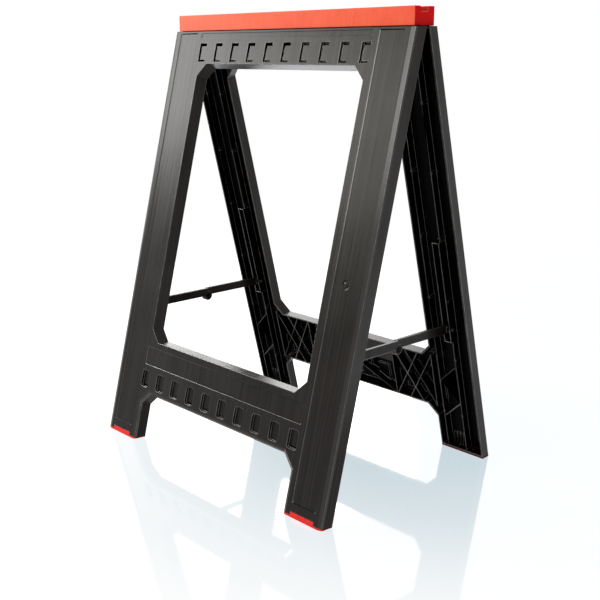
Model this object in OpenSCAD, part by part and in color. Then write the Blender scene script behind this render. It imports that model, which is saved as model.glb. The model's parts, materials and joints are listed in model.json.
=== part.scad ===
// Folding builders trestle: two identical moulded frames hinged under a grooved cap,
// held open by a two-piece folding brace at each side. Shown open, standing on the floor.
// X runs along the cap, Y across the spread of the legs, Z up. The origin is on the floor,
// in the middle of the four feet. All sizes are in millimetres.

/* [Overall] */
// Height from the floor to the top of the cap, open
height = 755; // [600:5:1000]
// Lean of each frame from upright when open, in degrees
splay = 14.2; // [11:0.1:17]
// Width across the faces of the two legs
frame_w = 572; // [480:2:800]

/* [Cap] */
// Length of the cap
cap_l = 560; // [500:2:760]
// Depth of the cap, front to back
cap_d = 44; // [42:1:60]
// Height of the cap
cap_h = 27.5; // [26:0.5:34]
// Wall of the cap
cap_wall = 3; // [2:0.25:3.5]
// Width of the work groove at the top
groove_w = 17.5; // [10:0.5:20]
// Width of the work groove at its floor
groove_floor_w = 13; // [6:0.5:13]
// Depth of the work groove
groove_depth = 8; // [4:0.5:8]
// Gap between the cap and the frames below it
cap_gap = 0.6; // [0.4:0.1:3]

/* [Hinge] */
// Depth of the hinge axis below the top of the cap
hinge_drop = 20; // [19.5:0.25:22]
// Diameter of the hinge rod
rod_d = 7; // [5:0.5:8]
// Wall of a hinge ear round the rod
ear_wall = 3.6; // [2.5:0.1:4]
// Number of hinge ears on each frame
ear_n = 3; // [2:1:5]
// Width of a hinge ear
ear_w = 24; // [12:1:40]
// Distance of the last web from the end wall of the cap
web_end = 7; // [4:0.5:24]
// Thickness of the webs in the cap that hold the rod
web_t = 4; // [2:0.5:8]
// How much narrower the snap slots below the rod are than the rod
snap_grip = 1.4; // [0.5:0.1:2]
// Radial running clearance of the ears on the rod
rod_clear = 0.08; // [0.02:0.01:0.1]

/* [Frame] */
// Depth of the channel section, face to rim
depth = 22.5; // [21:0.5:28]
// Half of the gap between the two rims when folded
rim_gap = 0.6; // [0.4:0.1:3]
// Thickness of the face
face_t = 3; // [2:0.25:3.5]
// Thickness of the side walls and end walls
wall_t = 2.5; // [1.5:0.25:3.5]
// Thickness of the inner ribs
rib_t = 1.5; // [1.25:0.25:3]
// How far the ribs stop short of the rim
rib_drop = 0.6; // [0.2:0.1:2]
// Width of a leg's face
leg_w = 84; // [76:1:110]
// Height of the upper beam's face
upper_beam_h = 58; // [56:1:80]
// Height of the lower beam's face
lower_beam_h = 95; // [88:1:110]
// Height of the arch between the feet, along the face
arch_h = 91; // [60:1:120]
// Size of the cut corners of the window and of the arch
corner = 22; // [8:1:34]
// How far the inner walls lean in, from face to rim
inner_draft = 3.8; // [0.5:0.1:5]
// How far the outer walls lean out, from face to rim
outer_draft = 1.5; // [0:0.1:3]
// Width of the bevel along the outer edges
bevel_w = 8.5; // [2:0.5:9]
// Depth of the bevel along the outer edges
bevel_d = 4.5; // [1:0.5:6]
// Share of the bevel's width that its steeper outer part takes
bevel_turn = 0.2; // [0.15:0.05:0.6]
// Share of the bevel's depth that its flatter inner part takes
bevel_rise = 0.45; // [0.15:0.05:0.6]
// Size of the bevel along the arch, as a share of the outer edges' bevel
arch_bevel_share = 0.7; // [0.4:0.05:1]

/* [Face details] */
// Depth of the sunk panels in the face
panel_depth = 1.25; // [0.5:0.25:2.5]
// Flat border between a leg's panel and the window
panel_border = 16; // [13:0.5:20]
// Border between a leg's panel and its outer edge, bevel included
panel_outer_border = 17.5; // [11:0.5:20]
// Flat border above a leg's panel
panel_top = 4; // [3:0.5:12]
// Flat border between a leg's panel and the notch for the foot
panel_bottom = 13.5; // [6:0.5:20]
// Flat border between the lower beam's top and its panel
beam_panel_top = 12; // [6:0.5:13]
// Height of the lower beam's panel
beam_panel_h = 32; // [20:1:33]
// How far the beams' panels and pockets run past the window's sides
beam_panel_over = 3.5; // [0:0.5:6]
// Flat border above the upper beam's sunk strip
strip_top = 4; // [3:0.5:6]
// Height of the upper beam's sunk strip
strip_h = 9; // [4:0.5:10]
// Number of pockets in each row
pocket_n = 10; // [4:1:12]
// Width of an upper pocket
upper_pocket_w = 18; // [8:0.5:19]
// Width of a lower pocket
lower_pocket_w = 21; // [10:0.5:22]
// Radius of a lower pocket's corners
lower_pocket_r = 4; // [1:0.5:4.5]
// Depth of a pocket
pocket_depth = 4.5; // [3:0.5:9]
// Height of an upper pocket
upper_pocket_h = 32; // [20:0.5:32]
// Flat border below the upper pockets
upper_pocket_border = 4; // [3:0.25:8]
// Width of the slot beside the tongue that fills most of an upper pocket
slot_side = 5.5; // [3:0.25:6]
// Height of the slot above the tongue
slot_top = 5; // [3:0.25:6]
// Height of the slot below the tongue
slot_bottom = 3; // [2:0.25:5]
// Height of a lower pocket
lower_pocket_h = 30; // [14:0.5:31]
// Flat border below the lower pockets, bevel included
lower_pocket_border = 9.75; // [9.5:0.25:12]
// Distance of the gate mark on the right leg below the top of the face
gate_drop = 384; // [300:1:420]
// Diameter of the gate mark
gate_d = 16; // [12:0.5:20]
// Width of the gate mark's ring
gate_ring = 5.5; // [3:0.25:6]
// Depth of the gate mark's ring
gate_depth = 1; // [0.4:0.1:1.5]

/* [Brace] */
// Height of the brace arms above the floor, open
brace_z = 237.5; // [200:0.5:300]
// Height of a brace arm
arm_h = 15; // [10:0.5:15]
// Thickness of a brace arm
arm_t = 5; // [3:0.25:6.5]
// Gap between the two arms where they lap
lap_gap = 0.3; // [0.2:0.05:1]
// Depth of the brace pivot below the face
pivot_depth = 14.5; // [13.5:0.25:16]
// Diameter of the brace pivot pins
pin_d = 6; // [4:0.25:8]
// Length of a pivot pin beyond its seat, each side
pin_over = 0.5; // [0.5:0.25:3]
// Radius of the knuckle disc
knuckle_r = 9; // [6:0.5:11]
// Diameter of the knuckle rivet's shank
rivet_d = 6; // [4:0.25:8]
// Diameter of the knuckle rivet's head
rivet_head_d = 11; // [9:0.25:12]
// Height of the knuckle rivet's head
rivet_head_h = 0.6; // [0.5:0.1:1]
// Diameter of the dimple in the knuckle rivet's head
rivet_eye_d = 4; // [2:0.25:5]
// Radial clearance of the brace pivots
pivot_clear = 0.08; // [0.02:0.01:0.1]
// Side clearance of the arms in their recess
side_clear = 0.3; // [0.2:0.05:1]
// Room in the recess above the folded arm and below its pivot
recess_room = 14; // [10:1:22]

/* [Feet] */
// Thickness of the sole of a foot
sole_t = 3; // [2:0.25:8]
// Height of the tab at the front of a foot, above the floor
tab_h = 8.5; // [6:0.5:16]
// Clearance of the tab in its notch
tab_clear = 0.2; // [0.1:0.05:0.5]
// Diameter of the pegs that hold a foot
peg_d = 5; // [4:0.5:8]
// Spacing of the two pegs of a foot
peg_pitch = 30; // [16:1:34]
// Radial clearance of the pegs in their holes
peg_clear = 0.05; // [0.02:0.01:0.1]

/* [Inner ribs] */
// Half width of the plain middle of the lower beam
lattice_start = 107; // [60:1:120]
// Spacing of the parallel lattice ribs
lattice_gap = 30; // [12:1:34]
// How far the two long ribs of a leg stop short of the rim
leg_rib_drop = 5; // [3:0.5:8]
// Distance of a leg's side rib from the middle of its recess, as a share of the leg's width
side_rib_share = 0.4; // [0.3:0.01:0.4]
// Spacing of the round ejector pads along the leg ribs
pad_pitch = 112; // [60:1:160]
// Diameter of the ejector pads
pad_d = 4.5; // [3:0.5:6]
// Start of the zigzag rib low in a leg, below the top of the lower beam
zigzag_start = 10; // [4:1:20]
// Rise of one stretch of the zigzag rib
zigzag_rise = 36; // [24:1:40]
// Number of stretches of the zigzag rib
zigzag_n = 3; // [1:1:3]
// Number of short slanting ribs above each foot
slant_n = 5; // [2:1:6]
// Rise of the short slanting ribs
slant_h = 32; // [16:1:40]

/* [Hidden] */
$fn = 64;
over = 1;
half_w = frame_w / 2;
inner_half = half_w - leg_w;
hinge_z = height - hinge_drop;
cap_bottom = height - cap_h;
frame_top = cap_bottom - cap_gap;
face_off = rim_gap + depth;
// Height of the face's top edge from the hinge axis, along the frame
face_top = (frame_top - hinge_z - face_off * sin(splay)) / cos(splay);
// Run of the face from its top edge to the floor
face_run = frame_top / cos(splay);
window_top = upper_beam_h;
arch_top = face_run - arch_h;
window_bottom = arch_top - lower_beam_h;
window_h = window_bottom - window_top;
// Where the two parts of the bevel meet
turn_w = bevel_w * bevel_turn;
turn_d = bevel_d * bevel_rise;
arch_bevel_w = bevel_w * arch_bevel_share;
arch_bevel_d = bevel_d * arch_bevel_share;
arch_turn_w = turn_w * arch_bevel_share;
arch_turn_d = turn_d * arch_bevel_share;
// Run of every long block that is cut to length later
long_run = face_run + 2 * depth;
ear_r = rod_d / 2 + ear_wall;
// Ears and webs alternate along the rod, with a web at each end
ear_pitch = (cap_l / 2 - cap_wall - web_end) / ear_n;
// Brace pivot in the frame's own upright position, measured from the hinge axis
pivot_y = pivot_depth - face_off;
pivot_z = (brace_z - hinge_z + pivot_y * sin(splay)) / cos(splay);
// Brace pivot of the open frame, from the middle plane
arm_l = -(pivot_y * cos(splay) + pivot_z * sin(splay));
knuckle_drop = arm_h / 2;
recess_half = arm_t + lap_gap / 2 + rivet_head_h + side_clear;
seat_half = recess_half + rib_t;
pivot_v = face_top - pivot_z;
recess_top = pivot_v - arm_l - knuckle_r - recess_room;
recess_bottom = pivot_v + arm_h / 2 + recess_room;
leg_panel_w = leg_w - panel_border - panel_outer_border;
leg_panel_mid = inner_half + panel_border + leg_panel_w / 2;
brace_x = leg_panel_mid;
// The leg panel ends a fixed border above the notch for the foot
notch_top = face_run - tab_h / cos(splay) - tab_clear;
leg_panel_h = notch_top - panel_bottom - panel_top;
beam_panel_half = inner_half + beam_panel_over;
// The end pockets of the upper row line up with the ends of the beams' panels
pocket_pitch = (2 * beam_panel_half - upper_pocket_w) / (pocket_n - 1);
first_pocket_right = upper_pocket_w - beam_panel_half;
upper_pocket_top = upper_beam_h - upper_pocket_border - upper_pocket_h;
lower_pocket_top = arch_top - lower_pocket_border - lower_pocket_h;
// Where the middle of the open front frame's channel meets the floor
floor_mid_y = ((depth + face_t) / 2 - face_off - hinge_z * sin(splay)) / cos(splay);
snap_w = rod_d - snap_grip;
frame_red = "#e5352b";
frame_black = "#2c2c2d";
steel = "#b9bcc0";

// Leans what is drawn upright, about the hinge axis, into the open front frame
module lean() {
    translate([0, 0, hinge_z]) rotate([-splay, 0, 0]) children();
}

// Moves to the top edge of the face: x across, y into the depth, z up the face
module on_face() {
    translate([0, -face_off, face_top]) children();
}

// Turns a front piece into its twin at the rear
module at_rear() {
    rotate([0, 0, 180]) children();
}

// A level slab that spans the whole trestle
module slab(low, high) {
    translate([-frame_w, -height, low]) cube([2 * frame_w, 2 * height, high - low]);
}

// A long strip whose half width shrinks by inset over its depth
module wedge_strip(half, inset, deep, run) {
    step = inset * over / deep;
    linear_extrude(height = run, center = true)
        polygon([[-half - step, -over], [half + step, -over],
            [half - inset - step, deep + over], [-half + inset + step, deep + over]]);
}

// A rectangle with cut corners whose four sides and corners all lean in
module leaning_opening(half_x, half_z, cut, inset, deep) {
    run = 4 * (half_x + half_z);
    diagonal = (half_x + half_z - cut) * sin(45);
    intersection() {
        wedge_strip(half_x, inset, deep, run);
        rotate([0, 90, 0]) wedge_strip(half_z, inset, deep, run);
        rotate([0, 45, 0]) wedge_strip(diagonal, inset, deep, run);
        rotate([0, -45, 0]) wedge_strip(diagonal, inset, deep, run);
    }
}

// A sunk panel with sides at 45 degrees
module sunk_panel(half_x, half_z, deep) {
    run = 4 * (half_x + half_z);
    intersection() {
        wedge_strip(half_x, deep, deep, run);
        rotate([0, 90, 0]) wedge_strip(half_z, deep, deep, run);
        translate([-run, -run, -run]) cube([2 * run, run + deep, 2 * run]);
    }
}

module window(grow = 0) {
    translate([0, 0, -(window_top + window_bottom) / 2])
        leaning_opening(inner_half + grow, window_h / 2 + grow, corner, inner_draft, depth);
}

module arch(grow = 0) {
    translate([0, 0, -arch_top - face_run])
        leaning_opening(inner_half + grow, face_run + grow, corner, inner_draft, depth);
}

// A cut that widens the arch at the face by grow and leans in by inset over its depth
module arch_cut(grow, inset, deep) {
    translate([0, 0, -arch_top - face_run])
        leaning_opening(inner_half + grow, face_run + grow, corner + grow * (2 - sqrt(2)), inset, deep);
}

// The bevel along the arch, in the same two parts as along the outer edges
module arch_bevel() {
    steep = arch_turn_w * arch_bevel_d / (arch_bevel_d - arch_turn_d);
    arch_cut(arch_bevel_w, arch_bevel_w - arch_turn_w, arch_turn_d);
    arch_cut(steep, steep, arch_bevel_d);
}

// Keeps the face's thickness behind the bevel of the arch
module arch_back() {
    intersection() {
        arch(arch_bevel_w + wall_t);
        translate([-half_w, 0, -long_run]) cube([frame_w, face_t + arch_turn_d, long_run]);
    }
}

// The whole outer section of a frame, with the bevel along both outer edges
module outer_block() {
    rim_half = half_w + outer_draft;
    translate([0, 0, -long_run + depth])
        linear_extrude(height = long_run + depth)
            polygon([[-half_w + bevel_w, 0], [half_w - bevel_w, 0],
                [half_w - turn_w, turn_d], [half_w, bevel_d], [rim_half, depth],
                [-rim_half, depth], [-half_w, bevel_d], [-half_w + turn_w, turn_d]]);
}

// The hollow of the channel, before the openings and ribs take their share
module inner_block() {
    rim_half = half_w + outer_draft - wall_t;
    slope = outer_draft * over / depth;
    translate([0, 0, -long_run + depth])
        linear_extrude(height = long_run + depth)
            polygon([[-half_w + bevel_w, face_t], [half_w - bevel_w, face_t],
                [half_w - wall_t, bevel_d + wall_t / 2], [rim_half + slope, depth + over],
                [-rim_half - slope, depth + over], [-half_w + wall_t, bevel_d + wall_t / 2]]);
}

// A rib between two points of the face, each as distance across and distance down
module rib(from, to, drop = rib_drop) {
    run = to - from;
    translate([from[0], 0, -from[1]])
        rotate([0, atan2(run[1], run[0]), 0])
            translate([0, 0, -rib_t / 2]) cube([norm(run), depth - drop, rib_t]);
}

// A round pad on a rib, where an ejector pushes the moulding out of its mould
module pad(x, v, drop) {
    translate([x, 0, -v]) rotate([-90, 0, 0]) cylinder(d = pad_d, h = depth - drop);
}

// Places of a leg's two long ribs: one runs on from a wall of the recess, one stands beside it.
// Both legs have them on the same hand.
function recess_rib_x(side) = side * brace_x - recess_half;
function side_rib_x(side) = side * brace_x + side_rib_share * leg_w;

module leg_ribs(side) {
    for (x = [recess_rib_x(side), side_rib_x(side)]) {
        rib([x, 0], [x, face_run + depth], leg_rib_drop);
        for (v = [pad_pitch : pad_pitch : notch_top]) pad(x, v, leg_rib_drop);
    }
}

// A zigzag rib and short slanting ribs between the long ribs, low in each leg
module leg_bracing(side) {
    ends = [recess_rib_x(side), side_rib_x(side)];
    start = window_bottom + zigzag_start;
    // The zigzag stands a little lower than the long ribs that it runs into
    for (i = [0 : zigzag_n - 1])
        rib([ends[i % 2], start + i * zigzag_rise], [ends[(i + 1) % 2], start + (i + 1) * zigzag_rise],
            leg_rib_drop + rib_t);
    pitch = (ends[1] - ends[0]) / (slant_n + 1);
    for (i = [1 : slant_n]) {
        x = ends[0] + i * pitch;
        rib([x, face_run - slant_h], [x + pitch, face_run + depth], depth - face_t - panel_depth - rib_t);
    }
}

// Two walls and two ends round the recess that takes a folded arm
module arm_recess(side) {
    mid = side * brace_x;
    translate([mid - seat_half, 0, -recess_bottom - rib_t])
        cube([2 * seat_half, depth - rib_drop, recess_bottom - recess_top + 2 * rib_t]);
}

module arm_recess_hollow(side) {
    mid = side * brace_x;
    translate([mid - recess_half, face_t + panel_depth, -recess_bottom])
        cube([2 * recess_half, depth, recess_bottom - recess_top]);
}

// Pairs of crossed ribs at both ends of the lower beam, and a shallow roof between them.
// Each set stands a little lower than the set that it runs into.
module beam_lattice() {
    top = window_bottom - inner_draft;
    bottom = arch_top + inner_draft;
    near = lattice_start;
    far = inner_half - wall_t;
    for (side = [-1, 1]) {
        for (x = [near, far]) rib([side * x, top], [side * x, bottom]);
        for (d = [0, lattice_gap]) {
            rib([side * (near + d), top], [side * (far - lattice_gap + d), bottom], 2 * rib_drop);
            rib([side * (far - lattice_gap + d), top], [side * (near + d), bottom], 3 * rib_drop);
        }
        pad(side * (near + far - lattice_gap) / 2, (top + bottom) / 2, 2 * rib_drop);
        rib([side * near, bottom], [0, (top + bottom) / 2], 4 * rib_drop);
    }
}

// Puts a child at the lower left corner of each pocket; both rows share the right ends of their pockets
module along_row(wide, top, high) {
    for (i = [0 : pocket_n - 1])
        translate([first_pocket_right + i * pocket_pitch - wide, -over, -top - high]) children();
}

// One row of square pockets; extra grows them into the boxes that stand behind the face
module pocket_row(wide, top, high, extra) {
    along_row(wide, top, high)
        translate([-extra, 0, -extra])
            cube([wide + 2 * extra, over + pocket_depth + extra, high + 2 * extra]);
}

// A pocket with round corners
module round_pocket(wide, high, r) {
    deep = over + pocket_depth;
    translate([r, 0, 0]) cube([wide - 2 * r, deep, high]);
    translate([0, 0, r]) cube([wide, deep, high - 2 * r]);
    for (x = [r, wide - r])
        for (z = [r, high - r]) translate([x, 0, z]) rotate([-90, 0, 0]) cylinder(r = r, h = deep);
}

// What fills the upper pockets from one side and leaves a slot round three sides
module tongues(inset, front) {
    along_row(upper_pocket_w, upper_pocket_top, upper_pocket_h)
        translate([slot_side + inset, over + front, slot_bottom + inset])
            cube([upper_pocket_w - slot_side - inset + wall_t + over, depth,
                upper_pocket_h - slot_top - slot_bottom - 2 * inset]);
}

// The slots of the upper row and the round-cornered pockets of the lower row
module pockets() {
    difference() {
        pocket_row(upper_pocket_w, upper_pocket_top, upper_pocket_h, 0);
        tongues(0, -2 * over);
    }
    along_row(lower_pocket_w, lower_pocket_top, lower_pocket_h)
        round_pocket(lower_pocket_w, lower_pocket_h, lower_pocket_r);
}

// The boxes behind the pockets; behind a tongue they are open
module pocket_backs() {
    difference() {
        pocket_row(upper_pocket_w, upper_pocket_top, upper_pocket_h, wall_t);
        tongues(wall_t, face_t);
    }
    pocket_row(lower_pocket_w, lower_pocket_top, lower_pocket_h, wall_t);
}

// The ring that the mould's gate leaves in the panel of the right leg
module gate_mark() {
    r = gate_d / 2;
    translate([leg_panel_mid, panel_depth, -gate_drop])
        rotate([-90, 0, 0])
            rotate_extrude()
                polygon([[r - gate_ring, -over], [r, -over], [r, 0],
                    [r - gate_ring / 2, gate_depth], [r - gate_ring, 0]]);
}

module sunk_panels(deep) {
    for (side = [-1, 1])
        translate([side * leg_panel_mid, 0, -panel_top - leg_panel_h / 2])
            sunk_panel(leg_panel_w / 2, leg_panel_h / 2, deep);
    translate([0, 0, -window_bottom - beam_panel_top - beam_panel_h / 2])
        sunk_panel(beam_panel_half, beam_panel_h / 2, deep);
    translate([0, 0, -strip_top - strip_h / 2])
        sunk_panel(beam_panel_half, strip_h / 2, deep / 2);
}

// Plates that keep the face's thickness behind the sunk panels
module panel_backs() {
    grow = panel_depth;
    for (side = [-1, 1])
        translate([side * leg_panel_mid - leg_panel_w / 2 - grow, 0, -panel_top - leg_panel_h - grow])
            cube([leg_panel_w + 2 * grow, face_t + panel_depth, leg_panel_h + panel_top + grow]);
    translate([-inner_half, 0, -window_bottom - beam_panel_top - beam_panel_h - grow])
        cube([2 * inner_half, face_t + panel_depth, beam_panel_h + beam_panel_top + grow]);
}

// What is hollowed out of the channel from its open side
module hollow() {
    difference() {
        inner_block();
        window(wall_t);
        arch(wall_t);
        panel_backs();
        arch_back();
        pocket_backs();
        beam_lattice();
        for (side = [-1, 1]) {
            leg_ribs(side);
            leg_bracing(side);
            difference() {
                arm_recess(side);
                arm_recess_hollow(side);
            }
        }
    }
    for (side = [-1, 1]) arm_recess_hollow(side);
}

// Height of the middle of the level top wall at a depth of the upright frame
function ear_root_z(y) = face_top + (y + face_off) * tan(splay) - wall_t / 2;

// One hinge ear, upright, with its barrel on the hinge axis
module ear() {
    root_front = -face_off + face_t + wall_t;
    root_back = -rim_gap - wall_t;
    tangent = ear_r * sin(45);
    rotate([90, 0, 90])
        translate([0, 0, -ear_w / 2]) {
            cylinder(r = ear_r, h = ear_w);
            linear_extrude(height = ear_w)
                polygon([[-tangent, tangent], [root_front + 2 * wall_t, -ear_r],
                    [root_front, ear_root_z(root_front)], [root_back, ear_root_z(root_back)],
                    [root_back, -ear_r], [tangent, -tangent]]);
        }
}

// The ears of the front frame; the rear frame's ears fall between them
module ears() {
    for (i = [0 : ear_n - 1]) translate([(2 * i - ear_n + 0.5) * ear_pitch, 0, 0]) ear();
}

module pivot_bores(d) {
    for (side = [-1, 1])
        translate([side * brace_x, pivot_y, pivot_z])
            rotate([0, 90, 0]) cylinder(d = d, h = 2 * (seat_half + pin_over + pivot_clear), center = true);
}

// Where the two pegs of a foot stand: under the middle of the channel
module peg_places(side) {
    for (d = [-1, 1])
        translate([side * leg_panel_mid + d * peg_pitch / 2, floor_mid_y, sole_t]) children();
}

// Room for the tab of a foot at the bottom of each leg's face
module tab_block(side, gap) {
    lean() on_face()
        translate([side * leg_panel_mid - leg_panel_w / 2 - gap, 0, -face_run - depth])
            cube([leg_panel_w + 2 * gap, face_t + gap, face_run + depth - notch_top - tab_clear + gap]);
}

module frame() {
    difference() {
        union() {
            difference() {
                lean() on_face() difference() {
                    outer_block();
                    hollow();
                }
                slab(frame_top, 2 * height);
                slab(-height, sole_t);
            }
            // End walls across the channel, level with the cap and with the floor
            intersection() {
                lean() on_face() outer_block();
                union() {
                    slab(frame_top - wall_t, frame_top);
                    slab(sole_t, sole_t + wall_t);
                }
            }
            lean() ears();
        }
        lean() on_face() {
            window();
            arch();
            arch_bevel();
            sunk_panels(panel_depth);
            pockets();
            gate_mark();
        }
        lean() {
            pivot_bores(pin_d + 2 * pivot_clear);
            rotate([0, 90, 0]) cylinder(d = rod_d + 2 * rod_clear, h = frame_w, center = true);
        }
        for (side = [-1, 1]) {
            tab_block(side, tab_clear);
            peg_places(side) translate([0, 0, -over])
                cylinder(d = peg_d + 2 * peg_clear, h = wall_t + 2 * over);
        }
    }
}

// A foot: a sole under the whole leg, a tab up its face and two pegs through its end wall
module foot(side) {
    color(frame_red) {
        intersection() {
            union() {
                intersection() {
                    lean() on_face() difference() {
                        outer_block();
                        arch();
                        arch_bevel();
                    }
                    slab(0, sole_t);
                }
                intersection() {
                    tab_block(side, 0);
                    slab(0, tab_h);
                }
            }
            translate([side > 0 ? 0 : -frame_w, -height, -height]) cube([frame_w, 2 * height, 2 * height]);
        }
        peg_places(side) translate([0, 0, -sole_t / 2]) cylinder(d = peg_d, h = sole_t / 2 + wall_t);
    }
}

// One half of a brace in its own position: pivot at the origin, knuckle end along +Y
module arm() {
    color(frame_black)
        difference() {
            union() {
                rotate([0, 90, 0]) cylinder(d = arm_h, h = 2 * (recess_half - side_clear), center = true);
                translate([lap_gap / 2, 0, -arm_h / 2]) cube([arm_t, arm_l - lap_gap / 2, arm_h]);
                translate([lap_gap / 2, arm_l, -knuckle_drop])
                    rotate([0, 90, 0]) cylinder(r = knuckle_r, h = arm_t);
            }
            rotate([0, 90, 0]) cylinder(d = pin_d + 2 * pivot_clear, h = 4 * recess_half, center = true);
            translate([0, arm_l, -knuckle_drop])
                rotate([0, 90, 0])
                    cylinder(d = rivet_d + 2 * pivot_clear, h = 4 * recess_half, center = true);
        }
}

// Half of a knuckle rivet, from its head to the lap of the two arms
module rivet_half() {
    color(frame_black)
        translate([0, arm_l, -knuckle_drop]) rotate([0, 90, 0]) {
            translate([0, 0, lap_gap / 2]) cylinder(d = rivet_d, h = arm_t);
            translate([0, 0, lap_gap / 2 + arm_t])
                difference() {
                    cylinder(d = rivet_head_d, h = rivet_head_h);
                    cylinder(d = rivet_eye_d, h = 2 * rivet_head_h);
                }
        }
}

module on_pivot(side) {
    translate([side * brace_x, -arm_l, brace_z]) children();
}

module pivot_pin(side) {
    color(steel)
        on_pivot(side) rotate([0, 90, 0]) cylinder(d = pin_d, h = 2 * (seat_half + pin_over), center = true);
}

module cap_section(shrink) {
    bottom = cap_bottom - (shrink > 0 ? over : 0);
    top = height - shrink;
    slope = (groove_w - groove_floor_w) / 2 / groove_depth;
    widen = shrink * (sqrt(1 + slope * slope));
    polygon([[-cap_d / 2 + shrink, bottom], [-cap_d / 2 + shrink, top],
        [-groove_w / 2 - widen + slope * shrink, top],
        [-groove_floor_w / 2 - widen + slope * shrink, top - groove_depth],
        [groove_floor_w / 2 + widen - slope * shrink, top - groove_depth],
        [groove_w / 2 + widen - slope * shrink, top],
        [cap_d / 2 - shrink, top], [cap_d / 2 - shrink, bottom]]);
}

module along_cap(run) {
    rotate([90, 0, 90]) linear_extrude(height = run, center = true) children();
}

module top_cap() {
    color(frame_red)
        difference() {
            along_cap(cap_l) cap_section(0);
            difference() {
                along_cap(cap_l - 2 * cap_wall) cap_section(cap_wall);
                for (i = [-ear_n : ear_n])
                    translate([i * ear_pitch - web_t / 2, -cap_d / 2, cap_bottom + cap_gap])
                        cube([web_t, cap_d, cap_h]);
            }
            translate([0, 0, hinge_z])
                rotate([0, 90, 0])
                    cylinder(d = rod_d + 2 * rod_clear, h = cap_l - 2 * cap_wall, center = true);
            // Snap slots let the rod in from below
            translate([-cap_l / 2 + cap_wall, -snap_w / 2, cap_bottom - over])
                cube([cap_l - 2 * cap_wall, snap_w, hinge_z - cap_bottom + over]);
        }
}

module hinge_rod() {
    color(steel)
        translate([0, 0, hinge_z])
            rotate([0, 90, 0]) cylinder(d = rod_d, h = cap_l - 2 * cap_wall - 2 * rod_clear, center = true);
}

module front_frame() { color(frame_black) frame(); }
module rear_frame() { color(frame_black) at_rear() frame(); }

top_cap();
hinge_rod();
front_frame();
rear_frame();
foot(-1);  // front_left_foot
foot(1);  // front_right_foot
at_rear() foot(1);  // rear_left_foot
at_rear() foot(-1);  // rear_right_foot
on_pivot(-1) arm();  // front_left_arm
on_pivot(1) arm();  // front_right_arm
at_rear() on_pivot(1) arm();  // rear_left_arm
at_rear() on_pivot(-1) arm();  // rear_right_arm
pivot_pin(-1);  // front_left_pivot_pin
pivot_pin(1);  // front_right_pivot_pin
at_rear() pivot_pin(1);  // rear_left_pivot_pin
at_rear() pivot_pin(-1);  // rear_right_pivot_pin
on_pivot(-1) rivet_half();  // left_knuckle_rivet
on_pivot(1) rivet_half();  // right_knuckle_rivet
at_rear() on_pivot(1) rivet_half();  // left_knuckle_tail
at_rear() on_pivot(-1) rivet_half();  // right_knuckle_tail
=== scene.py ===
# %% [markdown]
# # A folding builders trestle, dressed for its picture
# The trestle is already built as solids: two moulded black frames, a red cap, braces and feet, all at
# their real size in metres. In this lesson Blender gives them what solids lack: soft edges, a moulded
# finish, a camera that stands where the photographer stood, and studio light. The solids are loaded as
# a fixed frame.

# %% Load the solids
import json
from math import cos, degrees, radians, sin

import bmesh
import bpy
import numpy as np
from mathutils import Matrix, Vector
from mathutils.bvhtree import BVHTree


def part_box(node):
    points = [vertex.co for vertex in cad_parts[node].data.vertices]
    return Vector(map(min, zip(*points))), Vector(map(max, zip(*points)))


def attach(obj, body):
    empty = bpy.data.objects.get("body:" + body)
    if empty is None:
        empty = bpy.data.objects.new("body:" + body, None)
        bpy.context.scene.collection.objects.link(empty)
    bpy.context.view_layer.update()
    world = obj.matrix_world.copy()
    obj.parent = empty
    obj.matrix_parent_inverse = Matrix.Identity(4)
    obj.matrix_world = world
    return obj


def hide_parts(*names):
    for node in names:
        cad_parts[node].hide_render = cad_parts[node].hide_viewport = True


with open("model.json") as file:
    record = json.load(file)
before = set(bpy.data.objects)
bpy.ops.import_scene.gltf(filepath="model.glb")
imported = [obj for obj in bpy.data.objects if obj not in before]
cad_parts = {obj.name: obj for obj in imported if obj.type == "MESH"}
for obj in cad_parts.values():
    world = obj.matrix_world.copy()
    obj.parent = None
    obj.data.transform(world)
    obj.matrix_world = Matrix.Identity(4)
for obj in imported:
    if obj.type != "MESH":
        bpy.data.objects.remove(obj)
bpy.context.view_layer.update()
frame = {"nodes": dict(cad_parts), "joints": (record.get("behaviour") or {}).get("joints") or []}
scene = bpy.context.scene
scene.view_settings.view_transform = "Standard"

# %% [markdown]
# Each frame leans about the hinge rod under the cap. Its joint folds it from this lean until it hangs
# straight, so the lean is the end of the joint's range. It tells later which way a frame's face looks
# and which way the flow marks of the moulding run.

# %% Lean of the frames
fold = next(joint for joint in frame["joints"] if joint["name"] == "front_fold")
LEAN = radians(fold["range_deg"][1])
print("lean:", fold["range_deg"][1], "degrees")

# %% [markdown]
# The camera stands to the right of the trestle, a little below the height of its cap, and looks down
# to the left. It could be placed by eye, but straight edges show every error, so its place and its lens
# were found by matching the corners of the trestle. Its shift only carries the small offset of the
# picture's centre.

# %% Camera
IMAGE = 600
SENSOR_MM = 36.0
FOCAL_PIXELS = 979.4
CENTRE_PIXEL = (277.62, 295.33)
CAMERA_PLACE = (1.2234, -1.1454, 0.6937)
CAMERA_TURN_DEG = (75.94, 0.19, 47.71)
camera_data = bpy.data.cameras.new("camera")
camera_data.sensor_width = SENSOR_MM
camera_data.lens = FOCAL_PIXELS / IMAGE * SENSOR_MM
camera_data.shift_x = (IMAGE / 2 - CENTRE_PIXEL[0]) / IMAGE
camera_data.shift_y = (CENTRE_PIXEL[1] - IMAGE / 2) / IMAGE
camera = bpy.data.objects.new("camera", camera_data)
camera.location = CAMERA_PLACE
camera.rotation_euler = [radians(turn) for turn in CAMERA_TURN_DEG]
scene.collection.objects.link(camera)
scene.camera = camera
print("lens:", round(camera_data.lens, 2), "mm")

# %% [markdown]
# Every material below is a tree of nodes, so two small helpers come first: one adds a node with its
# properties set, and the other joins two sockets. They keep the longer cells readable.

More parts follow.
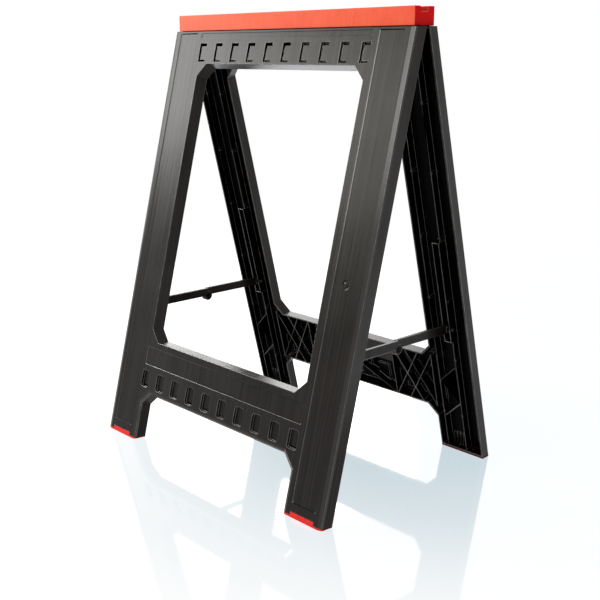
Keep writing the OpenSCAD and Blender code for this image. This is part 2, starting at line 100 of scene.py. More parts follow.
# %% Node helpers


def link(tree, source, target):
    """Joins an output socket to an input socket of one node tree."""
    tree.links.new(source, target)


def add(tree, kind, **values):
    """A new node of that kind, with the given properties set."""
    node = tree.nodes.new(kind)
    for name, value in values.items():
        setattr(node, name, value)
    return node


print("helpers:", link.__name__, add.__name__)

# %% [markdown]
# The picture was taken on a white sweep, which hides where the floor ends. A curved backdrop could be
# built, but a flat disc that fades out before its edge shows is simpler, and it looks right from every
# side. It is worked out as rings of points round the middle.

# %% Floor disc
FLOOR_RADIUS = 2.6


def disc(name, radius, rings, spokes):
    """Flat disc on the floor: point (r, a) lies at (r cos a, r sin a, 0)."""
    r = np.linspace(0.0, radius, rings + 1)[1:]
    a = np.arange(spokes) * 2 * np.pi / spokes
    grid = np.stack([np.outer(r, np.cos(a)), np.outer(r, np.sin(a)), np.zeros((rings, spokes))], -1)
    points = np.concatenate([np.zeros((1, 3)), grid.reshape(-1, 3)])
    here = np.arange(spokes)
    there = (here + 1) % spokes
    fan = np.stack([np.zeros(spokes, int), 1 + here, 1 + there], 1)
    base = 1 + np.arange(rings - 1)[:, None] * spokes
    quads = np.stack([base + here, base + spokes + here, base + spokes + there, base + there], -1)
    mesh = bpy.data.meshes.new(name)
    mesh.from_pydata(points.tolist(), [], fan.tolist() + quads.reshape(-1, 4).tolist())
    body = bpy.data.objects.new(name, mesh)
    scene.collection.objects.link(body)
    return body


floor = disc("floor", FLOOR_RADIUS, rings=8, spokes=64)
print("floor faces:", len(floor.data.polygons))

# %% [markdown]
# White surroundings that are bright enough to look white would also flood the object with light. So the
# floor and the world tell two kinds of ray apart: those that are seen, by the camera, in a reflection
# or through glass, and those that only carry light. One function makes the socket that both use.

# %% Rays that are seen


def sight(tree):
    """Socket that is one for what is seen: by the camera, in a reflection or through glass."""
    ray = add(tree, "ShaderNodeLightPath")
    mirrored = add(tree, "ShaderNodeMath", operation="MAXIMUM")
    through = add(tree, "ShaderNodeMath", operation="MAXIMUM")
    link(tree, ray.outputs["Is Camera Ray"], mirrored.inputs[0])
    link(tree, ray.outputs["Is Glossy Ray"], mirrored.inputs[1])
    link(tree, mirrored.outputs[0], through.inputs[0])
    link(tree, ray.outputs["Is Transmission Ray"], through.inputs[1])
    return through.outputs[0]


print("seen rays:", sight.__name__)

# %% [markdown]
# The floor carries the shadow and a faint mirror image. The mirror grows where the floor is seen at a
# shallow angle and is strongest near the right feet, as on a sheet of gloss board. A plain glossy floor
# would mirror everywhere, so the slant and the distance from that spot set its amount.

# %% Floor finish
FADE_START = 0.45 * FLOOR_RADIUS
FADE_END = 0.95 * FLOOR_RADIUS


def floor_material():
    """Floor that is seen as white with a pale mirror and a faint shadow, and that fades at its rim."""
    material = bpy.data.materials.new("pale_floor")
    material.use_nodes = True
    tree = material.node_tree
    tree.nodes.clear()
    paint = add(tree, "ShaderNodeBsdfDiffuse")
    paint.inputs["Color"].default_value = (0.65, 0.66, 0.67, 1)
    slant = add(tree, "ShaderNodeLayerWeight")
    grazing = add(tree, "ShaderNodeMapRange", interpolation_type="SMOOTHSTEP")
    grazing.inputs["From Min"].default_value = 0.35
    grazing.inputs["From Max"].default_value = 0.72
    glossy_part = add(tree, "ShaderNodeVectorMath", operation="DISTANCE")
    glossy_part.inputs[1].default_value = (0.3, 0.1, 0.0)
    patch = add(tree, "ShaderNodeMapRange", interpolation_type="SMOOTHSTEP")
    patch.inputs["From Min"].default_value = 0.1
    patch.inputs["From Max"].default_value = 0.8
    patch.inputs["To Min"].default_value = 1.0
    patch.inputs["To Max"].default_value = 0.15
    amount = add(tree, "ShaderNodeMath", operation="MULTIPLY")
    glow = add(tree, "ShaderNodeEmission")
    glow_mix = add(tree, "ShaderNodeMix", data_type="RGBA")
    glow_mix.inputs[6].default_value = (1.08, 1.08, 1.08, 1)
    glow_mix.inputs[7].default_value = (0.5, 0.65, 0.72, 1)
    mirror = add(tree, "ShaderNodeBsdfGlossy")
    mirror.inputs["Roughness"].default_value = 0.05
    mirror_mix = add(tree, "ShaderNodeMix", data_type="RGBA")
    mirror_mix.inputs[6].default_value = (0, 0, 0, 1)
    mirror_mix.inputs[7].default_value = (0.55, 0.44, 0.39, 1)
    polished = add(tree, "ShaderNodeAddShader")
    seen = sight(tree)
    share = add(tree, "ShaderNodeMapRange")
    share.inputs["To Max"].default_value = 0.88
    lifted = add(tree, "ShaderNodeMixShader")
    place = add(tree, "ShaderNodeTexCoord")
    reach = add(tree, "ShaderNodeVectorMath", operation="LENGTH")
    fade = add(tree, "ShaderNodeMapRange", interpolation_type="SMOOTHSTEP")
    fade.inputs["From Min"].default_value = FADE_START
    fade.inputs["From Max"].default_value = FADE_END
    clear = add(tree, "ShaderNodeBsdfTransparent")
    whole = add(tree, "ShaderNodeMixShader")
    out = add(tree, "ShaderNodeOutputMaterial")
    link(tree, slant.outputs["Facing"], grazing.inputs["Value"])
    link(tree, place.outputs["Object"], glossy_part.inputs[0])
    link(tree, glossy_part.outputs["Value"], patch.inputs["Value"])
    link(tree, grazing.outputs[0], amount.inputs[0])
    link(tree, patch.outputs[0], amount.inputs[1])
    link(tree, amount.outputs[0], glow_mix.inputs[0])
    link(tree, amount.outputs[0], mirror_mix.inputs[0])
    link(tree, glow_mix.outputs[2], glow.inputs["Color"])
    link(tree, mirror_mix.outputs[2], mirror.inputs["Color"])
    link(tree, glow.outputs[0], polished.inputs[0])
    link(tree, mirror.outputs[0], polished.inputs[1])
    link(tree, seen, share.inputs["Value"])
    link(tree, share.outputs[0], lifted.inputs[0])
    link(tree, paint.outputs[0], lifted.inputs[1])
    link(tree, polished.outputs[0], lifted.inputs[2])
    link(tree, place.outputs["Object"], reach.inputs[0])
    link(tree, reach.outputs["Value"], fade.inputs["Value"])
    link(tree, fade.outputs[0], whole.inputs[0])
    link(tree, lifted.outputs[0], whole.inputs[1])
    link(tree, clear.outputs[0], whole.inputs[2])
    link(tree, whole.outputs[0], out.inputs["Surface"])
    return material


floor.data.materials.append(floor_material())
print("floor fades from", round(FADE_START, 2), "to", round(FADE_END, 2), "m")

# %% [markdown]
# The world is plain white to the camera and to reflections, and gives only a low fill to everything
# else. So the background is white without more light on the object, and the black plastic keeps its
# depth.

# %% World


def white_world(fill):
    """World that is white to the camera, to reflections and through glass, and lights all else by fill."""
    world = bpy.data.worlds.new("studio")
    scene.world = world
    world.use_nodes = True
    tree = world.node_tree
    tree.nodes.clear()
    level = add(tree, "ShaderNodeMapRange")
    level.inputs["To Min"].default_value = fill
    level.inputs["To Max"].default_value = 1.0
    sky = add(tree, "ShaderNodeBackground")
    sky.inputs["Color"].default_value = (1, 1, 1, 1)
    out = add(tree, "ShaderNodeOutputWorld")
    link(tree, sight(tree), level.inputs["Value"])
    link(tree, level.outputs[0], sky.inputs["Strength"])
    link(tree, sky.outputs[0], out.inputs["Surface"])


white_world(fill=0.1)
print("world:", scene.world.name)

# %% [markdown]
# Satin black shows its lamps more than its colour, so ten soft panels are placed by what each face
# mirrors to the camera. The key and the side panel show in the upper part of the leaning face and die
# out towards the feet. The strip and the line panel draw the fine lines along the bevels. The back
# panel, the rear right one and two panels on the floor light the walls, and a ceiling and a front panel
# fill in. Together they light a grey card on the front about as it is written.

# %% Lamps


def soft_panel(name, place, aim, width, height, radiance, tint=(1, 1, 1)):
    """Rectangular soft light at place that faces aim; its power is pi times area times radiance."""
    data = bpy.data.lights.new(name, "AREA")
    data.color = tint
    data.shape = "RECTANGLE"
    data.size = width
    data.size_y = height
    data.energy = np.pi * width * height * radiance
    panel = bpy.data.objects.new(name, data)
    panel.location = place
    panel.rotation_euler = (Vector(aim) - Vector(place)).to_track_quat("-Z", "Y").to_euler()
    panel.visible_camera = False
    scene.collection.objects.link(panel)


soft_panel("key", (-2.0, -1.05, 1.22), (0, -0.05, 0.6), 0.9, 0.75, 12.7)
soft_panel("side", (-1.3, -1.6, 1.24), (0.25, -0.05, 0.6), 0.75, 0.7, 6.8, (1, 0.98, 0.88))
soft_panel("ceiling", (0.1, 0.1, 2.4), (0, 0, 0), 2.2, 1.6, 1.0)
soft_panel("front", (0.9, -2.0, 1.5), (0.1, 0, 0.6), 2.6, 0.6, 1.4)
soft_panel("strip", (0.0, -2.05, 1.5), (0.28, -0.05, 0.6), 0.6, 0.7, 6.4)
soft_panel("line", (1.9, -1.5, 1.2), (0.2, -0.05, 0.6), 0.5, 0.8, 6.4)
soft_panel("back", (-2.1, 1.5, 0.8), (0, -0.1, 0.2), 1.8, 1.2, 4.3)
soft_panel("rear_right", (1.8, 1.3, 0.26), (0, 0, 0.3), 1.6, 0.5, 1.5, (0.92, 0.95, 1))
soft_panel("floor_glow", (-0.9, 0.62, 0.012), (-0.9, 0.62, 1), 1.2, 0.8, 2.9, (0.95, 0.95, 1))
soft_panel("floor_right", (1.04, 0.46, 0.012), (1.04, 0.46, 1), 0.86, 0.62, 2.3, (0.92, 0.95, 1))

# %% [markdown]
# Moulded plastic is never one flat colour: as it fills the mould it leaves streaks that run down the
# face, and the mould leaves a fine grain. All the plastics here share that, so it is a node group.
# Noise stretched along the lean gives the streaks. A picture could too, but noise needs no unwrapping.

# %% Flow streaks and grain


def group(name, inputs, outputs):
    """Empty shader node group with the named sockets, and its two end nodes."""
    tree = bpy.data.node_groups.new(name, "ShaderNodeTree")
    for socket, kind, value in inputs:
        item = tree.interface.new_socket(name=socket, in_out="INPUT", socket_type=kind)
        item.default_value = value
    for socket, kind in outputs:
        tree.interface.new_socket(name=socket, in_out="OUTPUT", socket_type=kind)
    return tree, add(tree, "NodeGroupInput"), add(tree, "NodeGroupOutput")


def flow_group():
    """Streaks: noise stretched along the lean of the frame; grain: fine noise with no direction."""
    tree, start, end = group(
        "flow_and_grain",
        [("Streaks per Metre", "NodeSocketFloat", 500.0), ("Grain per Metre", "NodeSocketFloat", 1500.0)],
        [("Streaks", "NodeSocketFloat"), ("Patches", "NodeSocketFloat"), ("Grain", "NodeSocketFloat")],
    )
    place = add(tree, "ShaderNodeTexCoord")
    apart = add(tree, "ShaderNodeSeparateXYZ")
    mirrored = add(tree, "ShaderNodeMath", operation="ABSOLUTE")
    together = add(tree, "ShaderNodeCombineXYZ")
    stretch = add(tree, "ShaderNodeMapping", vector_type="TEXTURE")
    stretch.inputs["Rotation"].default_value = (LEAN, 0.0, 0.0)
    stretch.inputs["Scale"].default_value = (1.0, 1.0, 80.0)
    streaks = add(tree, "ShaderNodeTexNoise")
    streaks.inputs["Detail"].default_value = 3.0
    streaks.inputs["Roughness"].default_value = 0.65
    patches = add(tree, "ShaderNodeTexNoise")
    patches.inputs["Scale"].default_value = 9.0
    patches.inputs["Detail"].default_value = 4.0
    grain = add(tree, "ShaderNodeTexNoise")
    grain.inputs["Detail"].default_value = 2.0
    link(tree, place.outputs["Object"], apart.inputs[0])
    link(tree, apart.outputs["X"], together.inputs["X"])
    link(tree, apart.outputs["Y"], mirrored.inputs[0])
    link(tree, mirrored.outputs[0], together.inputs["Y"])
    link(tree, apart.outputs["Z"], together.inputs["Z"])
    link(tree, together.outputs[0], stretch.inputs["Vector"])
    link(tree, stretch.outputs[0], streaks.inputs["Vector"])
    link(tree, start.outputs["Streaks per Metre"], streaks.inputs["Scale"])
    link(tree, place.outputs["Object"], patches.inputs["Vector"])
    link(tree, place.outputs["Object"], grain.inputs["Vector"])
    link(tree, start.outputs["Grain per Metre"], grain.inputs["Scale"])
    link(tree, streaks.outputs["Fac"], end.inputs["Streaks"])
    link(tree, patches.outputs["Fac"], end.inputs["Patches"])
    link(tree, grain.outputs["Fac"], end.inputs["Grain"])
    return tree


FLOW = flow_group()
print("group:", FLOW.name)

# %% [markdown]
# Handling rubs the corners of a moulding a little paler, and the same paler colour also serves as a
# painted highlight along the edges. A painted mask could show that, but here the rounding of the edges
# marks the faces that it makes, so the wear and the painted highlight follow every edge by themselves.
# The second node group reads that mark and breaks it up with noise.

# %% Rubbed edges with painted highlights


def edge_group():
    """Paler edges, from wear and a painted highlight: the edge attribute, broken up by noise and scaled by
    an amount.
    """
    tree, start, end = group(
        "rubbed_and_highlit_edges",
        [("Amount", "NodeSocketFloat", 0.5), ("Breaks per Metre", "NodeSocketFloat", 60.0)],
        [("Mask", "NodeSocketFloat"), ("Whole", "NodeSocketFloat")],
    )
    edge = add(tree, "ShaderNodeAttribute", attribute_name="edge")
    place = add(tree, "ShaderNodeTexCoord")
    breaks = add(tree, "ShaderNodeTexNoise")
    breaks.inputs["Detail"].default_value = 3.0
    sharp = add(tree, "ShaderNodeMapRange")
    sharp.inputs["From Min"].default_value = 0.8
    worn_and_highlit = add(tree, "ShaderNodeMapRange")
    worn_and_highlit.inputs["From Min"].default_value = 0.3
    worn_and_highlit.inputs["From Max"].default_value = 0.62
    masked = add(tree, "ShaderNodeMath", operation="MULTIPLY")
    scaled = add(tree, "ShaderNodeMath", operation="MULTIPLY")
    link(tree, place.outputs["Object"], breaks.inputs["Vector"])
    link(tree, start.outputs["Breaks per Metre"], breaks.inputs["Scale"])
    link(tree, breaks.outputs["Fac"], worn_and_highlit.inputs["Value"])
    link(tree, edge.outputs["Fac"], sharp.inputs["Value"])
    link(tree, sharp.outputs[0], masked.inputs[0])
    link(tree, worn_and_highlit.outputs[0], masked.inputs[1])
    link(tree, masked.outputs[0], scaled.inputs[0])
    link(tree, start.outputs["Amount"], scaled.inputs[1])
    link(tree, scaled.outputs[0], end.inputs["Mask"])
    link(tree, edge.outputs["Fac"], end.inputs["Whole"])
    return tree


EDGE = edge_group()
print("group:", EDGE.name)

# %% [markdown]
# The plastics put the two effects to work. Streaks change the gloss more than the colour, which is how
# flow marks look on a real moulding. Three numbers stored on the faces steer the finish: one marks the
# edges, which are polished and paler, partly from wear and partly as a painted highlight; one is painted
# shade, dark and with little shine, on faces that are closed in; one is painted shade, darker and with
# little shine, on faces that a test picks out. One function serves all the plastics, because they differ
# only in their values.

# %% Moulded plastic
STREAK_SHINE = (0.7, 1.3)
# Share of the shine that is left on faces with painted shade.
DULL_SHINE = 0.1


def mixed(tree, kind, factor, first, second):
    """Mix node of that kind between two sockets or constants; gives the result socket."""
    node = add(tree, "ShaderNodeMix", data_type=kind)
    ends = {"FLOAT": (2, 3, 0), "RGBA": (6, 7, 2)}[kind]
    sockets = (node.inputs[0], node.inputs[ends[0]], node.inputs[ends[1]])
    for socket, value in zip(sockets, (factor, first, second)):
        if isinstance(value, bpy.types.NodeSocket):
            link(tree, value, socket)
        else:
            socket.default_value = value
    return node.outputs[ends[2]]


def moulded_plastic(name, deep, pale, worn_and_highlit, dull_shade_colour, inner_shade_colour, gloss, shine, tint,
                    streak_scale, grain_scale, wear_and_highlight, bump):
    """Moulded plastic: deep to pale over streaks, paler edges (wear and painted highlight), painted shade
    where marked.

    gloss is the roughness at both ends of the streaks and on edges; shine is the level on faces and edges.
    """
    material = bpy.data.materials.new(name)
    material.use_nodes = True
    tree = material.node_tree
    skin = tree.nodes["Principled BSDF"]
    flow = add(tree, "ShaderNodeGroup", node_tree=FLOW)
    flow.inputs["Streaks per Metre"].default_value = streak_scale
    flow.inputs["Grain per Metre"].default_value = grain_scale
    edge = add(tree, "ShaderNodeGroup", node_tree=EDGE)
    edge.inputs["Amount"].default_value = wear_and_highlight
    marks = mixed(tree, "FLOAT", 0.35, flow.outputs["Streaks"], flow.outputs["Patches"])
    body = mixed(tree, "RGBA", marks, (*deep, 1), (*pale, 1))
    hollow = add(tree, "ShaderNodeAttribute", attribute_name="hollow")
    # Painted shade: faces closed in by the moulding are mixed towards a much darker colour.
    inside = mixed(tree, "RGBA", hollow.outputs["Fac"], body, (*inner_shade_colour, 1))
    # Paler edges: partly wear and partly a painted highlight along the rounded edges.
    rubbed_and_highlit = mixed(tree, "RGBA", edge.outputs["Mask"], inside, (*worn_and_highlit, 1))
    matt = add(tree, "ShaderNodeAttribute", attribute_name="matt")
    # Painted shade: faces that a test picks out, such as the rim of a sole, are mixed towards a darker
    # colour.
    coloured = mixed(tree, "RGBA", matt.outputs["Fac"], rubbed_and_highlit, (*dull_shade_colour, 1))
    streaked = add(tree, "ShaderNodeMapRange")
    streaked.inputs["From Min"].default_value = 0.35
    streaked.inputs["From Max"].default_value = 0.65
    streaked.inputs["To Min"].default_value = STREAK_SHINE[0] * shine[0]
    streaked.inputs["To Max"].default_value = STREAK_SHINE[1] * shine[0]
    link(tree, marks, streaked.inputs["Value"])
    polish = mixed(tree, "FLOAT", edge.outputs["Whole"], streaked.outputs[0], shine[1])
    # Painted shade also lowers the shine, first of closed-in faces, then of the faces a test picks out.
    indoors = mixed(tree, "FLOAT", hollow.outputs["Fac"], polish, DULL_SHINE * shine[0])
    level = mixed(tree, "FLOAT", matt.outputs["Fac"], indoors, DULL_SHINE * shine[0])
    rough = add(tree, "ShaderNodeMapRange")
    rough.inputs["From Min"].default_value = 0.3
    rough.inputs["From Max"].default_value = 0.7
    rough.inputs["To Min"].default_value = gloss[0]
    rough.inputs["To Max"].default_value = gloss[1]
    height = mixed(tree, "FLOAT", 0.6, flow.outputs["Streaks"], flow.outputs["Grain"])
    relief = add(tree, "ShaderNodeBump")
    relief.inputs["Strength"].default_value = bump
    relief.inputs["Distance"].default_value = 0.0002
    link(tree, coloured, skin.inputs["Base Color"])
    link(tree, marks, rough.inputs["Value"])
    smooth = mixed(tree, "FLOAT", edge.outputs["Whole"], rough.outputs[0], gloss[2])
    link(tree, smooth, skin.inputs["Roughness"])
    link(tree, height, relief.inputs["Height"])
    link(tree, relief.outputs[0], skin.inputs["Normal"])
    link(tree, level, skin.inputs["Specular IOR Level"])
    skin.inputs["Specular Tint"].default_value = (*tint, 1)
    return material


# The two shade colours are painted shade, and the edge colour is wear with a painted highlight.
BLACK_LOOK = dict(
    deep=(0.0041, 0.003, 0.0023), pale=(0.0132, 0.0096, 0.0077), worn_and_highlit=(0.14, 0.137, 0.129),
    dull_shade_colour=(0.0056, 0.0056, 0.0056), inner_shade_colour=(0.0014, 0.0014, 0.0014), gloss=(0.25, 0.38, 0.12),
    tint=(1, 0.99, 0.96), streak_scale=300.0, grain_scale=1600.0, wear_and_highlight=0.7, bump=0.35)
BLACK = moulded_plastic("black_plastic", shine=(0.168, 0.77), **BLACK_LOOK)
BRACE = moulded_plastic("brace_plastic", shine=(0.09, 0.77), **BLACK_LOOK)
print("black:", BLACK.name, BRACE.name)

# %% [markdown]
# The cap and the feet are red. The cap is a hard plastic with a soft sheen. The feet are rubber, which
# keeps the trestle from sliding, so they are rougher and shine less. A material of its own for each would
# repeat the same nodes, so both are the moulded plastic with other values, as the duller braces are.

# %% Red plastic and rubber
# The cap's two shade colours are painted shade, for its closed-in faces and for its ends.
RED = moulded_plastic(
    "red_cap_plastic", deep=(0.78, 0.02, 0.014), pale=(0.86, 0.028, 0.018), worn_and_highlit=(0.9, 0.1, 0.06),
    dull_shade_colour=(0.86, 0.009, 0.013), inner_shade_colour=(0.4, 0.009, 0.007), gloss=(0.42, 0.52, 0.4), shine=(0.6, 0.7),
    tint=(1, 0.9, 0.35), streak_scale=160.0, grain_scale=1400.0, wear_and_highlight=0.5, bump=0.2)
# The rubber's two shade colours are painted shade: for the pegs inside a frame and for the rim of a sole.
RUBBER = moulded_plastic(
    "red_foot_rubber", deep=(0.78, 0.016, 0.014), pale=(0.86, 0.026, 0.02), worn_and_highlit=(0.88, 0.08, 0.06),
    dull_shade_colour=(0.14, 0.015, 0.02), inner_shade_colour=(0.04, 0.003, 0.003), gloss=(0.5, 0.68, 0.5), shine=(0.35, 0.35),
    tint=(1, 0.9, 0.8), streak_scale=240.0, grain_scale=1800.0, wear_and_highlight=0.35, bump=0.3)
print("red:", RED.name, RUBBER.name)

# %% [markdown]
# The pins and the hinge rod are plated steel, drawn through a die, which leaves fine lines along their
# length. All of them run along X, so noise that is stretched along X draws the lines on every one.

# %% Brushed steel


def brushed_steel():
    """Zinc-plated steel: grey metal whose gloss is drawn out along X, the run of every pin here."""
    material = bpy.data.materials.new("brushed_steel")
    material.use_nodes = True
    tree = material.node_tree
    skin = tree.nodes["Principled BSDF"]
    place = add(tree, "ShaderNodeTexCoord")
    draw = add(tree, "ShaderNodeMapping")
    draw.inputs["Scale"].default_value = (0.05, 1.0, 1.0)
    lines = add(tree, "ShaderNodeTexNoise")
    lines.inputs["Scale"].default_value = 1800.0
    lines.inputs["Detail"].default_value = 3.0
    rough = add(tree, "ShaderNodeMapRange")
    rough.inputs["To Min"].default_value = 0.25
    rough.inputs["To Max"].default_value = 0.5
    relief = add(tree, "ShaderNodeBump")
    relief.inputs["Strength"].default_value = 0.15
    relief.inputs["Distance"].default_value = 0.0001
    link(tree, place.outputs["Object"], draw.inputs["Vector"])
    link(tree, draw.outputs[0], lines.inputs["Vector"])
    link(tree, lines.outputs["Fac"], rough.inputs["Value"])
    link(tree, rough.outputs[0], skin.inputs["Roughness"])
    link(tree, lines.outputs["Fac"], relief.inputs["Height"])
    link(tree, relief.outputs[0], skin.inputs["Normal"])
    tint = mixed(tree, "RGBA", lines.outputs["Fac"], (0.46, 0.47, 0.49, 1), (0.62, 0.63, 0.64, 1))
    link(tree, tint, skin.inputs["Base Color"])
    skin.inputs["Metallic"].default_value = 1.0
    return material


STEEL = brushed_steel()
print("steel:", STEEL.name)

# %% [markdown]
# A solid's edges are perfectly sharp, and a sharp edge catches no light. Real mouldings have a small
# radius on every edge, and the fine bright lines in the picture are reflections in those radii. So each
# visible solid is copied first, and its loose triangles are joined into whole faces, because a bevel
# needs to know which edges are real.

# %% Copies with whole faces
MERGE_DIGITS = 6
FLAT_TURN = radians(0.5)


def joined_copy(node, name):
    """Copy of a solid's mesh with points at one place merged and flat neighbours made one face."""
    source = frame["nodes"][node].data
    points = np.empty(len(source.vertices) * 3)
    source.vertices.foreach_get("co", points)
    corners = np.empty(len(source.loops), int)
    source.loops.foreach_get("vertex_index", corners)
    place, home = np.unique(np.round(points.reshape(-1, 3), MERGE_DIGITS), axis=0, return_inverse=True)
    triangles = home.reshape(-1)[corners].reshape(-1, 3)
    distinct = (triangles != np.roll(triangles, 1, axis=1)).all(axis=1)
    mesh = bpy.data.meshes.new(name)
    mesh.from_pydata(place.tolist(), [], triangles[distinct].tolist())
    edit = bmesh.new()
    edit.from_mesh(mesh)
    bmesh.ops.dissolve_limit(edit, angle_limit=FLAT_TURN, verts=edit.verts, edges=edit.edges)
    edit.to_mesh(mesh)
    edit.free()
    return mesh


print("copies:", joined_copy.__name__)

# %% [markdown]
# The open back of a frame is full of ribs, and hardly any light comes back out of it. Rays that leave a
# face and soon hit something tell how closed in it is. A face that looks inwards counts as inside if more
# than a fifth of its rays hit, unless it lies open towards the outside, as the walls of the window do. A
# face that looks out, such as the floor of a pocket, is darkened by its share of hits. Painting the
# insides by hand would do too, but it would have to be done again after every change of shape.

# %% Closed-in faces
LIFT = 2e-5
RAYS = 8
RAY_LEAN = radians(60)
RAY_REACH = 0.1
SHUT_INSIDE = 0.2
SHUT_OUTSIDE = 0.6
LOOKS_OUT = 0.5
TURNED_SINE = 0.5


def ray_tree(mesh):
    """Search tree for rays against a mesh."""
    points = [vertex.co for vertex in mesh.vertices]
    return BVHTree.FromPolygons(points, [face.vertices for face in mesh.polygons])


def closed_in(mesh, trees, outward):
    """How far every face is closed in, 0 to 1: leaning rays from every triangle, cut at their reach."""
    def blocked(start, normal, along):
        ray = cos(RAY_LEAN) * normal + sin(RAY_LEAN) * along
        return any(tree.ray_cast(start, ray, RAY_REACH)[0] for tree in trees)

    turns = np.arange(RAYS) * 2 * np.pi / RAYS
    shut, whole, bare = np.zeros((3, len(mesh.polygons)))
    mesh.calc_loop_triangles()
    for triangle in mesh.loop_triangles:
        normal = triangle.normal
        side = normal.orthogonal().normalized()
        other = normal.cross(side)
        corners = [mesh.vertices[index].co for index in triangle.vertices]
        start = sum(corners, Vector()) / 3 + LIFT * normal
        hits = sum(blocked(start, normal, cos(turn) * side + sin(turn) * other) for turn in turns)
        shut[triangle.polygon_index] += triangle.area * hits / RAYS
        whole[triangle.polygon_index] += triangle.area
        along = outward - outward.dot(normal) * normal
        if along.length > TURNED_SINE and not blocked(start, normal, along.normalized()):
            bare[triangle.polygon_index] += triangle.area
    outside = np.array([face.normal.dot(outward) > LOOKS_OUT for face in mesh.polygons])
    share = np.divide(shut, whole, out=np.zeros_like(shut), where=whole > 0)
    inside = np.where(share > SHUT_INSIDE, 1.0, 0.0) * (bare < 0.5 * whole)
    return np.where(outside, np.clip(share / SHUT_OUTSIDE, 0, 1), inside)


print("rays from each triangle:", RAYS)

# %% [markdown]
# A bevel will round the edges of each copy, and every edge gets its share of the radius. Ribs inside a
# frame are sharper than its outside, a blunt corner such as the rim of a sunk panel takes half, and the
# small steps of a curve stay as they are. One radius for all would spoil the ribs and the curves.

# %% Shares of the radius
NEARLY_FLAT = radians(30)
BLUNT = radians(50)
BLUNT_SHARE = 0.5


def edge_weights(mesh, walled, inner):
    """Share of the radius for every edge: inner beside a closed-in face, less if blunt, 0 if nearly flat."""
    edges = {tuple(sorted(edge.vertices)): edge.index for edge in mesh.edges}
    weights = np.ones(len(mesh.edges), np.float32)
    first = {}
    for polygon in mesh.polygons:
        for key in polygon.edge_keys:
            index = edges[tuple(sorted(key))]
            if walled[polygon.index]:
                weights[index] = min(weights[index], inner)
            if index not in first:
                first[index] = (polygon.normal.copy(), polygon.center.copy())
                continue
            normal, centre = first[index]
            bend = normal.angle(polygon.normal)
            if bend < BLUNT:
                concave = normal.dot(polygon.center - centre) > 0
                plain = concave or bend < NEARLY_FLAT
                weights[index] = 0.0 if plain else min(weights[index], BLUNT_SHARE)
    return weights


print("rounded from a bend of", round(degrees(NEARLY_FLAT)), "degrees")

# %% [markdown]
# Now a solid becomes a finished piece. The bevel puts the faces that it makes into a second material
# slot, which tells them apart afterwards, and then that slot goes. The masks for the finish and for the
# painted shade are stored on the faces, and the piece takes the place of its solid and rides on the same
# body.

# %% Rounded piece
FULLY_CLOSED = 0.9


def face_values(mesh, name, values):
    """Stores one number for every face of a mesh."""
    stored = mesh.attributes.new(name, "FLOAT", "FACE")
    stored.data.foreach_set("value", np.asarray(values, np.float32))


def rounded_piece(node, body, slot, material, radius, segments=2, inner=1.0,
                  around=(), outward=Vector(), sloped=None, matt=None):
    """Piece for a solid with its sharp edges rounded; the two face tests pick polished faces and painted
    shade, by normal and centre.
    """
    name = "rounded_" + node
    mesh = joined_copy(node, name)
    trees = [ray_tree(mesh)] + [ray_tree(frame["nodes"][other].data) for other in around]
    walled = closed_in(mesh, trees, outward)
    # The share of blocked rays is kept as the mask of the painted shade for closed-in faces.
    face_values(mesh, "hollow", walled)
    weights = edge_weights(mesh, walled > FULLY_CLOSED, inner)
    mesh.attributes.new("bevel_weight_edge", "FLOAT", "EDGE").data.foreach_set("value", weights)
    mesh.materials.append(material)
    mesh.materials.append(material)
    rough = bpy.data.objects.new(name + "_rough", mesh)
    scene.collection.objects.link(rough)
    bevel = rough.modifiers.new("round", "BEVEL")
    bevel.width = radius
    bevel.segments = segments
    bevel.limit_method = "WEIGHT"
    bevel.use_clamp_overlap = False
    bevel.harden_normals = True
    bevel.material = 1
    evaluated = rough.evaluated_get(bpy.context.evaluated_depsgraph_get())
    shaped = bpy.data.meshes.new_from_object(evaluated)
    bpy.data.objects.remove(rough)
    made = np.empty(len(shaped.polygons), np.int32)
    shaped.polygons.foreach_get("material_index", made)
    hollow = np.empty(len(shaped.polygons), np.float32)
    shaped.attributes["hollow"].data.foreach_get("value", hollow)
    slopes = np.array([sloped(face) if sloped else 0 for face in shaped.polygons])
    hollow[slopes > 0] = 0
    if not around:
        hollow[made == 1] = 0
    shaped.attributes["hollow"].data.foreach_set("value", hollow)
    face_values(shaped, "edge", np.maximum(made, slopes) * (hollow == 0))
    # Faces that the test picks out are kept as the mask of the second painted shade.
    face_values(shaped, "matt", [matt is not None and matt(face) for face in shaped.polygons])
    shaped.polygons.foreach_set("material_index", np.zeros_like(made))
    shaped.materials.pop(index=1)
    piece = bpy.data.objects.new(name, shaped)
    shaped.name = name
    scene.collection.objects.link(piece)
    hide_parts(node)
    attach(piece, body)
    print(name, "faces:", len(shaped.polygons), "closed in:", int(hollow.sum()))


print("rounding:", rounded_piece.__name__)

# %% [markdown]
# Some faces differ from the rest of their piece, and small functions find them by direction and place.
# The slopes beside a panel are polished. The rim of a sole, the top edge of a frame in the shade of the
# cap, and the ends of the cap and the rivets get painted shade: a copy of the finish with little shine,
# much darker on the sole. Lists of face numbers would do the same, but they would be wrong after the next
# change of shape.

# %% Faces with a finish of their own
FACET_AREA = 5e-6
FACET_TURNS = (radians(10), radians(60))
MOST_POLISH = 0.75
FULL_POLISH_TURN = radians(38)
SIDEWAYS = 0.2
RIM_HEIGHT = 0.004
STEEP = 0.5
CAP_GAP = 0.002
GAP_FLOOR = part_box("top_cap")[0].z - CAP_GAP
END_COSINE = 0.75


def bevelled(outward):
    """Polish of the large facets that turn sideways from outward: the more, the steeper."""
    def polish(face):
        turn = face.normal.angle(outward)
        sideways = face.area > FACET_AREA and abs(face.normal.x) > SIDEWAYS
        wanted = sideways and FACET_TURNS[0] < turn < FACET_TURNS[1]
        return min(MOST_POLISH, turn / FULL_POLISH_TURN) if wanted else 0
    return polish


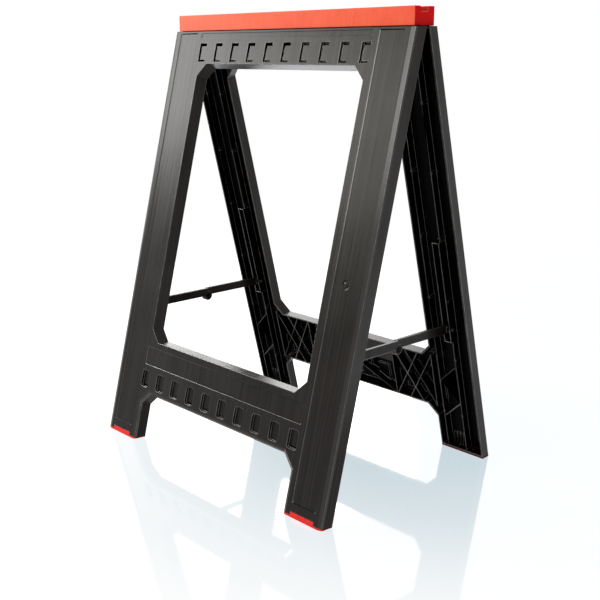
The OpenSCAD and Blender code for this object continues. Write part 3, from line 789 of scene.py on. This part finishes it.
def sole_rim(outward):
    """Test for the rim of a sole, which gets painted shade: upright faces near the floor, apart from the one
    that looks outward.
    """
    def on_rim(face):
        upright = abs(face.normal.z) < STEEP and face.center.z < RIM_HEIGHT
        return upright and face.normal.y * outward.y < LOOKS_OUT
    return on_rim


def under_cap(face):
    """Test for the faces of a frame in the dark gap just below the cap, which get painted shade."""
    return face.center.z > GAP_FLOOR


def end_face(face):
    """Test for the faces that look along X, which get painted shade on the cap and the rivets."""
    return abs(face.normal.x) > END_COSINE


print("shade below the cap starts at", round(GAP_FLOOR, 4), "m")

# %% [markdown]
# Now every visible moulding gets its rounded copy: the frames, the feet, whose pegs hide inside the
# frames, the brace arms with the two halves of each knuckle rivet, and the cap, whose curve is the finest
# because it is the brightest piece. The pieces repeat on two sides and two hands, so loops make them.

# %% Rounded pieces
FRAME_RADIUS = 0.0008
RIB_SHARE = 0.7
FOOT_RADIUS = 0.0005
ARM_RADIUS = 0.0006
RIVET_RADIUS = 0.0002
CAP_RADIUS = 0.001
for side, turn in (("front", 1), ("rear", -1)):
    outward = Vector((0, -turn * cos(LEAN), sin(LEAN)))
    rounded_piece(f"{side}_frame", f"{side}_frame", "black_plastic", BLACK, FRAME_RADIUS, inner=RIB_SHARE,
                  outward=outward, sloped=bevelled(outward), matt=under_cap)
    for hand in ("left", "right"):
        rounded_piece(f"{side}_{hand}_foot", f"{side}_frame", "red_rubber", RUBBER, FOOT_RADIUS,
                      around=[f"{side}_frame"], matt=sole_rim(outward))
        rounded_piece(f"{side}_{hand}_arm", f"{side}_{hand}_arm", "black_plastic", BRACE, ARM_RADIUS)
for hand in ("left", "right"):
    for half, side in (("rivet", "front"), ("tail", "rear")):
        rounded_piece(f"{hand}_knuckle_{half}", f"{side}_{hand}_arm", "black_plastic", BRACE, RIVET_RADIUS,
                      matt=end_face)
rounded_piece("top_cap", "cap", "red_plastic", RED, CAP_RADIUS, segments=3, matt=end_face)

# %% [markdown]
# The pins and the hinge rod keep their solids: they are small and mostly hidden, and a cut rod has crisp
# ends anyway. They only need their brushed steel.

# %% Steel pieces
for node, item in frame["nodes"].items():
    if not item.hide_render:
        item.data.materials.clear()
        item.data.materials.append(STEEL)
        print("steel:", node)
